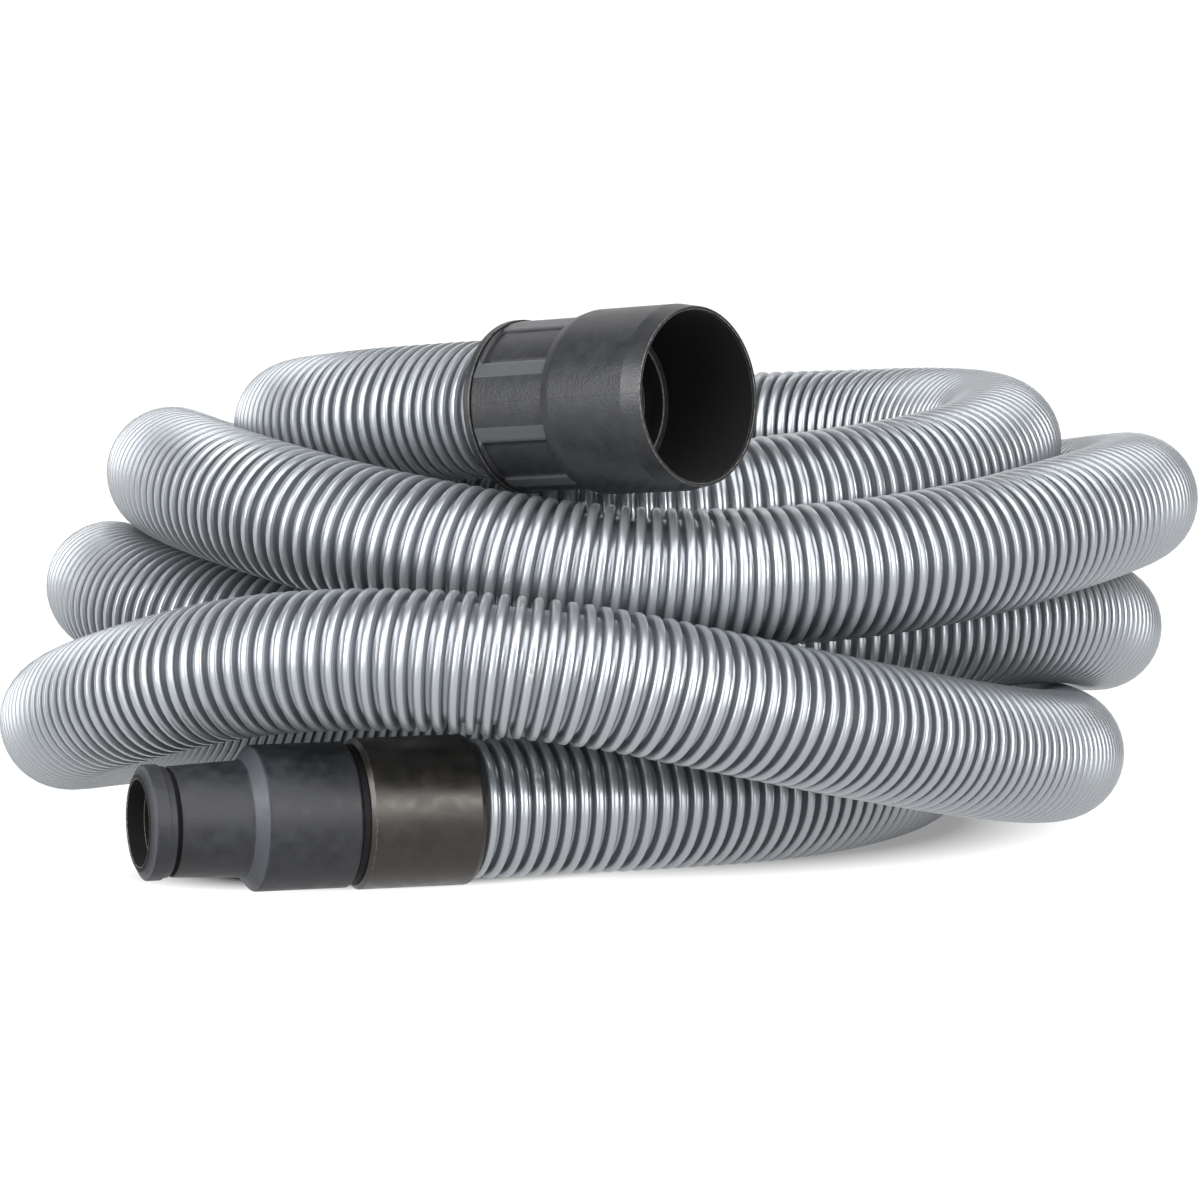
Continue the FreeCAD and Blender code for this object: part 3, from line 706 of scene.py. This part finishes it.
def dark_moulding(tree, dark, light, painted_sheen, grain, rough, sheen):
    """A dark moulded plastic: clouded colour, fine grain, and edges lighter here and there, partly
    rubbed and partly a painted highlight.

    The colour clouds from dark to light, and takes a painted sheen, a lighter colour, on facets. Grain
    is its size and its height in millimetres, drawn several times coarser than the mould's to show,
    rough the least and greatest roughness, and sheen the shader's own settings. Bores, where the mark
    facet is below 0, are dull and painted nearly black as shade.
    """
    place = add(tree, "ShaderNodeTexCoord").outputs["Object"]
    facet = add(tree, "ShaderNodeAttribute", {"attribute_name": "facet"}).outputs["Fac"]
    edge = add(tree, "ShaderNodeAttribute", {"attribute_name": "edge"}).outputs["Fac"]
    cloud = add(
        tree, "ShaderNodeTexNoise", {"Scale": per_metre(5), "Detail": 4}, {"Vector": place},
    )
    clouded = add(
        tree, "ShaderNodeValToRGB", {"stops": ((0.35, dark), (0.7, light))},
        {"Fac": cloud.outputs["Fac"]},
    )
    # Painted sheen: the facets take a lighter colour
    with_painted_sheen = add(
        tree, "ShaderNodeMixRGB", {"Color2": linear(painted_sheen)},
        {"Fac": facet, "Color1": clouded.outputs["Color"]},
    )
    nicks = add(
        tree, "ShaderNodeTexNoise", {"Scale": per_metre(1.2), "Detail": 3}, {"Vector": place},
    )
    nicked = add(
        tree, "ShaderNodeMapRange", {"From Min": 0.35, "From Max": 0.65},
        {"Value": nicks.outputs["Fac"]},
    )
    # Edges lighter where nicked: partly real rubbing, partly a painted highlight
    wear_and_highlight = add(
        tree, "ShaderNodeMath", {"operation": "MULTIPLY"}, {0: edge, 1: nicked.outputs["Result"]},
    )
    edged = add(
        tree, "ShaderNodeMixRGB", {"Color2": linear(EDGE_WEAR_AND_HIGHLIGHT)},
        {"Fac": wear_and_highlight.outputs["Value"], "Color1": with_painted_sheen.outputs["Color"]},
    )
    # Painted shade: bores are painted nearly black, and made dull
    bore_shade_mask = add(
        tree, "ShaderNodeMapRange", {"From Min": 0, "From Max": -1}, {"Value": facet},
    ).outputs["Result"]
    bore_shaded = add(
        tree, "ShaderNodeMixRGB", {"Color2": linear(BORE_SHADE)},
        {"Fac": bore_shade_mask, "Color1": edged.outputs["Color"]},
    )
    roughness = add(
        tree, "ShaderNodeMapRange",
        {"From Min": 0.3, "From Max": 0.7, "To Min": rough[0], "To Max": rough[1]},
        {"Value": cloud.outputs["Fac"]},
    )
    dull = add(
        tree, "ShaderNodeMath", {"operation": "MAXIMUM"}, {0: roughness.outputs["Result"], 1: bore_shade_mask},
    )
    fine = add(
        tree, "ShaderNodeTexNoise", {"Scale": per_metre(grain[0]), "Detail": 2},
        {"Vector": place},
    )
    bump = add(
        tree, "ShaderNodeBump", {"Strength": 0.3, "Distance": grain[1] * MM},
        {"Height": fine.outputs["Fac"]},
    )
    return add(
        tree, "ShaderNodeBsdfPrincipled", sheen,
        {
            "Base Color": bore_shaded.outputs["Color"], "Roughness": dull.outputs["Value"],
            "Normal": bump.outputs["Normal"],
        },
    )


def charcoal_abs(tree):
    """Charcoal ABS from an eroded mould: matte, with a fine even grain."""
    return dark_moulding(
        tree, dark="#1c1d1f", light="#232426", painted_sheen="#3f4042",
        grain=(0.9, 0.3), rough=(0.34, 0.42), sheen={"IOR": 1.37},
    )


def charcoal_polyamide(tree):
    """Charcoal polyamide of the threaded nut: a little smoother and darker than the cuff."""
    return dark_moulding(
        tree, dark="#1b1c1e", light="#212224", painted_sheen="#3a3b3d",
        grain=(0.5, 0.08), rough=(0.36, 0.44), sheen={"IOR": 1.42},
    )


def anthracite_polypropylene(tree):
    """Anthracite polypropylene: bluish, with faint flow clouds under a semi matte skin."""
    return dark_moulding(
        tree, dark="#15161a", light="#232428", painted_sheen="#313439",
        grain=(0.9, 0.12), rough=(0.44, 0.6), sheen={"IOR": 1.4},
    )


def glossy_vinyl(tree):
    """Soft vinyl of the sleeve: brownish black and glossier, so the lights show as mottled glows."""
    return dark_moulding(
        tree, dark="#131312", light="#1f1d1c", painted_sheen="#3a3b3d",
        grain=(1.6, 0.07), rough=(0.3, 0.46),
        sheen={"IOR": 1.47, "Specular Tint": (1, 0.93, 0.86, 1)},
    )


def plain_moulding(tree, colour, cloud_size, rough, sheen):
    """An even dark finish whose roughness alone clouds, at a size in millimetres."""
    place = add(tree, "ShaderNodeTexCoord").outputs["Object"]
    cloud = add(
        tree, "ShaderNodeTexNoise", {"Scale": per_metre(cloud_size)}, {"Vector": place},
    )
    roughness = add(
        tree, "ShaderNodeMapRange", {"To Min": rough[0], "To Max": rough[1]},
        {"Value": cloud.outputs["Fac"]},
    )
    return add(
        tree, "ShaderNodeBsdfPrincipled", {"Base Color": linear(colour), **sheen},
        {"Roughness": roughness.outputs["Result"]},
    )


def spring_acetal(tree):
    """Acetal of the snap rings: dense, smooth, nearly black."""
    return plain_moulding(tree, "#1c1c1d", 2, (0.25, 0.35), {"IOR": 1.48})


def black_nitrile(tree):
    """Black nitrile rubber of the seals: matte and very dark."""
    return plain_moulding(tree, "#060606", 3, (0.6, 0.8), {"IOR": 1.3})


# The floor's glow, in metres: an oval patch of painted shade behind the tool end with a soft edge from
# one share of its reach to another, and how bright the floor is at each distance from the coil's
# middle, dimmer under the coil as a painted shadow
SHADE_PATCH_PLACE = (-0.07, -0.117, 0)
SHADE_PATCH_REACH = (0.08, 0.045, 1)
SHADE_PATCH_EDGE = (0.7, 1.1)
COIL_MIDDLE = (0, 0.01, 0)
GLOW_WITH_PAINTED_SHADOW = (
    (0.03, "#e6e6e6"), (0.085, "#959595"), (0.12, "#959595"), (0.155, "#fefefe"),
)


def white_studio_floor(tree):
    """Light table: a board that glows white, less under the coil as a painted shadow, and not at all
    behind the tool end as painted shade.
    """
    place = add(tree, "ShaderNodeTexCoord").outputs["Object"]
    # Painted shade: an oval patch behind the tool end where the floor does not glow
    shade_patch = add(
        tree, "ShaderNodeMapping",
        {
            "vector_type": "TEXTURE", "Location": SHADE_PATCH_PLACE, "Scale": SHADE_PATCH_REACH,
            "Rotation": (0, 0, math.radians(TOOL_TURN)),
        },
        {"Vector": place},
    )
    from_shade_patch = add(
        tree, "ShaderNodeVectorMath", {"operation": "LENGTH"}, {0: shade_patch.outputs["Vector"]},
    )
    past_shade_patch = add(
        tree, "ShaderNodeMapRange", {"From Min": SHADE_PATCH_EDGE[0], "From Max": SHADE_PATCH_EDGE[1]},
        {"Value": from_shade_patch.outputs["Value"]},
    )
    from_middle = add(
        tree, "ShaderNodeVectorMath", {"operation": "DISTANCE", 1: COIL_MIDDLE}, {0: place},
    )
    # Painted shadow: the floor glows less under the coil
    coil_shadow_glow = add(
        tree, "ShaderNodeValToRGB", {"stops": GLOW_WITH_PAINTED_SHADOW},
        {"Fac": from_middle.outputs["Value"]},
    )
    glow = add(
        tree, "ShaderNodeMath", {"operation": "MULTIPLY"},
        {0: past_shade_patch.outputs["Result"], 1: coil_shadow_glow.outputs["Color"]},
    )
    return add(
        tree, "ShaderNodeBsdfPrincipled",
        {
            "Base Color": linear("#424243"), "Roughness": 0.7, "Specular IOR Level": 0.1,
            "Emission Color": linear("#ffffff"),
        },
        {"Emission Strength": glow.outputs["Value"]},
    )


def dress(piece, finish):
    """Gives a piece one finish all over."""
    piece.data.materials.clear()
    piece.data.materials.append(finish)


# The camera, in metres: its lens, the shift of its frame, and how far and how high over its aim it is
LENS = 185.39
SENSOR = 36
FRAME_SHIFT = (0.0316, -0.0094)
CAMERA_AIM = (-0.015, -0.013, 0.08)
CAMERA_AWAY = 2.0762
CAMERA_RISE = 5.3147


def make_camera():
    """The photograph's view: a long lens low in front of the coil, its frame shifted a little."""
    data = bpy.data.cameras.new("camera")
    data.sensor_width = data.sensor_height = SENSOR
    data.sensor_fit = "HORIZONTAL"
    data.lens = LENS
    data.shift_x, data.shift_y = FRAME_SHIFT
    data.clip_start, data.clip_end = 0.05, 50
    camera = bpy.data.objects.new("camera", data)
    rise = math.radians(CAMERA_RISE)
    away = Vector((0, -math.cos(rise), math.sin(rise)))
    camera.location = Vector(CAMERA_AIM) + CAMERA_AWAY * away
    camera.rotation_euler = (math.pi / 2 - rise, 0, 0)
    bpy.context.scene.collection.objects.link(camera)
    bpy.context.scene.camera = camera


# The lights: name, place, aim and size in metres, and power in watts
SOFTBOXES = (
    ("key", (0, -0.9, 1.5), (0, -0.05, 0.08), (2, 1.3), 33),
    ("left", (-1.1, -1.07, 0.6), (0, -0.05, 0.12), (1.9, 1.1), 30.5),
    ("far_left", (-1.35, -0.85, 0.55), (0, -0.1, 0.15), (0.6, 0.9), 14),
    ("right", (0.93, -1.24, 0.5), (0, -0.05, 0.1), (1.3, 1.05), 18.5),
    ("kicker", (0.93, -1.35, 0.55), (-0.05, -0.18, 0.03), (0.4, 0.3), 6.5),
    ("background", (0, 1.7, 1.9), (0, 3, 0.1), (4, 0.8), 90),
)
ROOM_COLOUR = "#f7f8fa"
ROOM_LIGHT = 0.2


def make_lights():
    """Soft studio light: boxes turned to their aims, in a dim white room."""
    for name, place, aim, size, power in SOFTBOXES:
        lamp = bpy.data.lights.new(name, "AREA")
        lamp.shape = "RECTANGLE"
        lamp.size, lamp.size_y = size
        lamp.energy = power
        light = bpy.data.objects.new(name, lamp)
        light.location = place
        way = Vector(aim) - Vector(place)
        light.rotation_euler = way.to_track_quat("-Z", "Y").to_euler()
        bpy.context.scene.collection.objects.link(light)
    world = bpy.data.worlds.new("studio")
    world.use_nodes = True
    room = world.node_tree.nodes["Background"]
    room.inputs["Color"].default_value = linear(ROOM_COLOUR)
    room.inputs["Strength"].default_value = ROOM_LIGHT
    bpy.context.scene.world = world
    bpy.context.scene.view_settings.view_transform = "Standard"


def make_floor():
    """A white floor that sweeps up behind the object in a quarter of a circle, then stands straight."""
    half, sweep, bend, wall, steps = 7000, 2600, 900, 2700, 13
    turn = np.linspace(0, math.pi / 2, steps)
    deep = np.concatenate(((-half,), sweep + bend * np.sin(turn), (sweep + bend,)))
    high = np.concatenate(((0,), bend * (1 - np.cos(turn)), (wall,)))
    across = np.array((-half, half), float)
    points = np.stack((
        across[:, None].repeat(len(deep), 1), deep[None].repeat(2, 0), high[None].repeat(2, 0),
    ), -1).reshape(-1, 3)
    index = np.arange(2 * len(deep)).reshape(2, -1)
    floor = new_mesh("floor", points, [quads(index)], [quad_maps(*index.shape, *WHOLE_MAP)])
    dress(floor, material(white_studio_floor))


def main():
    """Makes every piece, dresses it and says which body it rides on."""
    make_camera()
    make_floor()
    make_lights()
    line = Line(route_points())
    pitch = line.length / RIB_PITCHES
    silver = material(silver_polyolefin)
    for number in range(SECTIONS):
        piece = hose_section(line, number)
        dress(piece, silver)
        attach(piece, "hose_run")
        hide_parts("hose")
        start = pitch * TURNS_PER_SECTION * number
        end = min(start + pitch * (TURNS_PER_SECTION + 1), line.length)
    for maker, node, body, slot, finish in (
        (make_machine_cuff, "machine_cuff", "machine_end", "cuff_plastic", charcoal_abs),
        (make_machine_nut, "machine_nut", "hose_run", "nut_plastic", charcoal_polyamide),
        (make_tool_sleeve, "tool_sleeve", "hose_run", "sleeve_plastic", glossy_vinyl),
        (make_tool_nozzle, "tool_nozzle", "tool_end", "nozzle_plastic", anthracite_polypropylene),
    ):
        piece = maker()
        dress(piece, material(finish))
        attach(piece, body)
        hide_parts(node)
    for kind, build in (("seal", black_nitrile), ("snap_ring", spring_acetal)):
        finish = material(build)
        for end in ("machine", "tool"):
            dress(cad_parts["%s_%s" % (end, kind)], finish)


main()
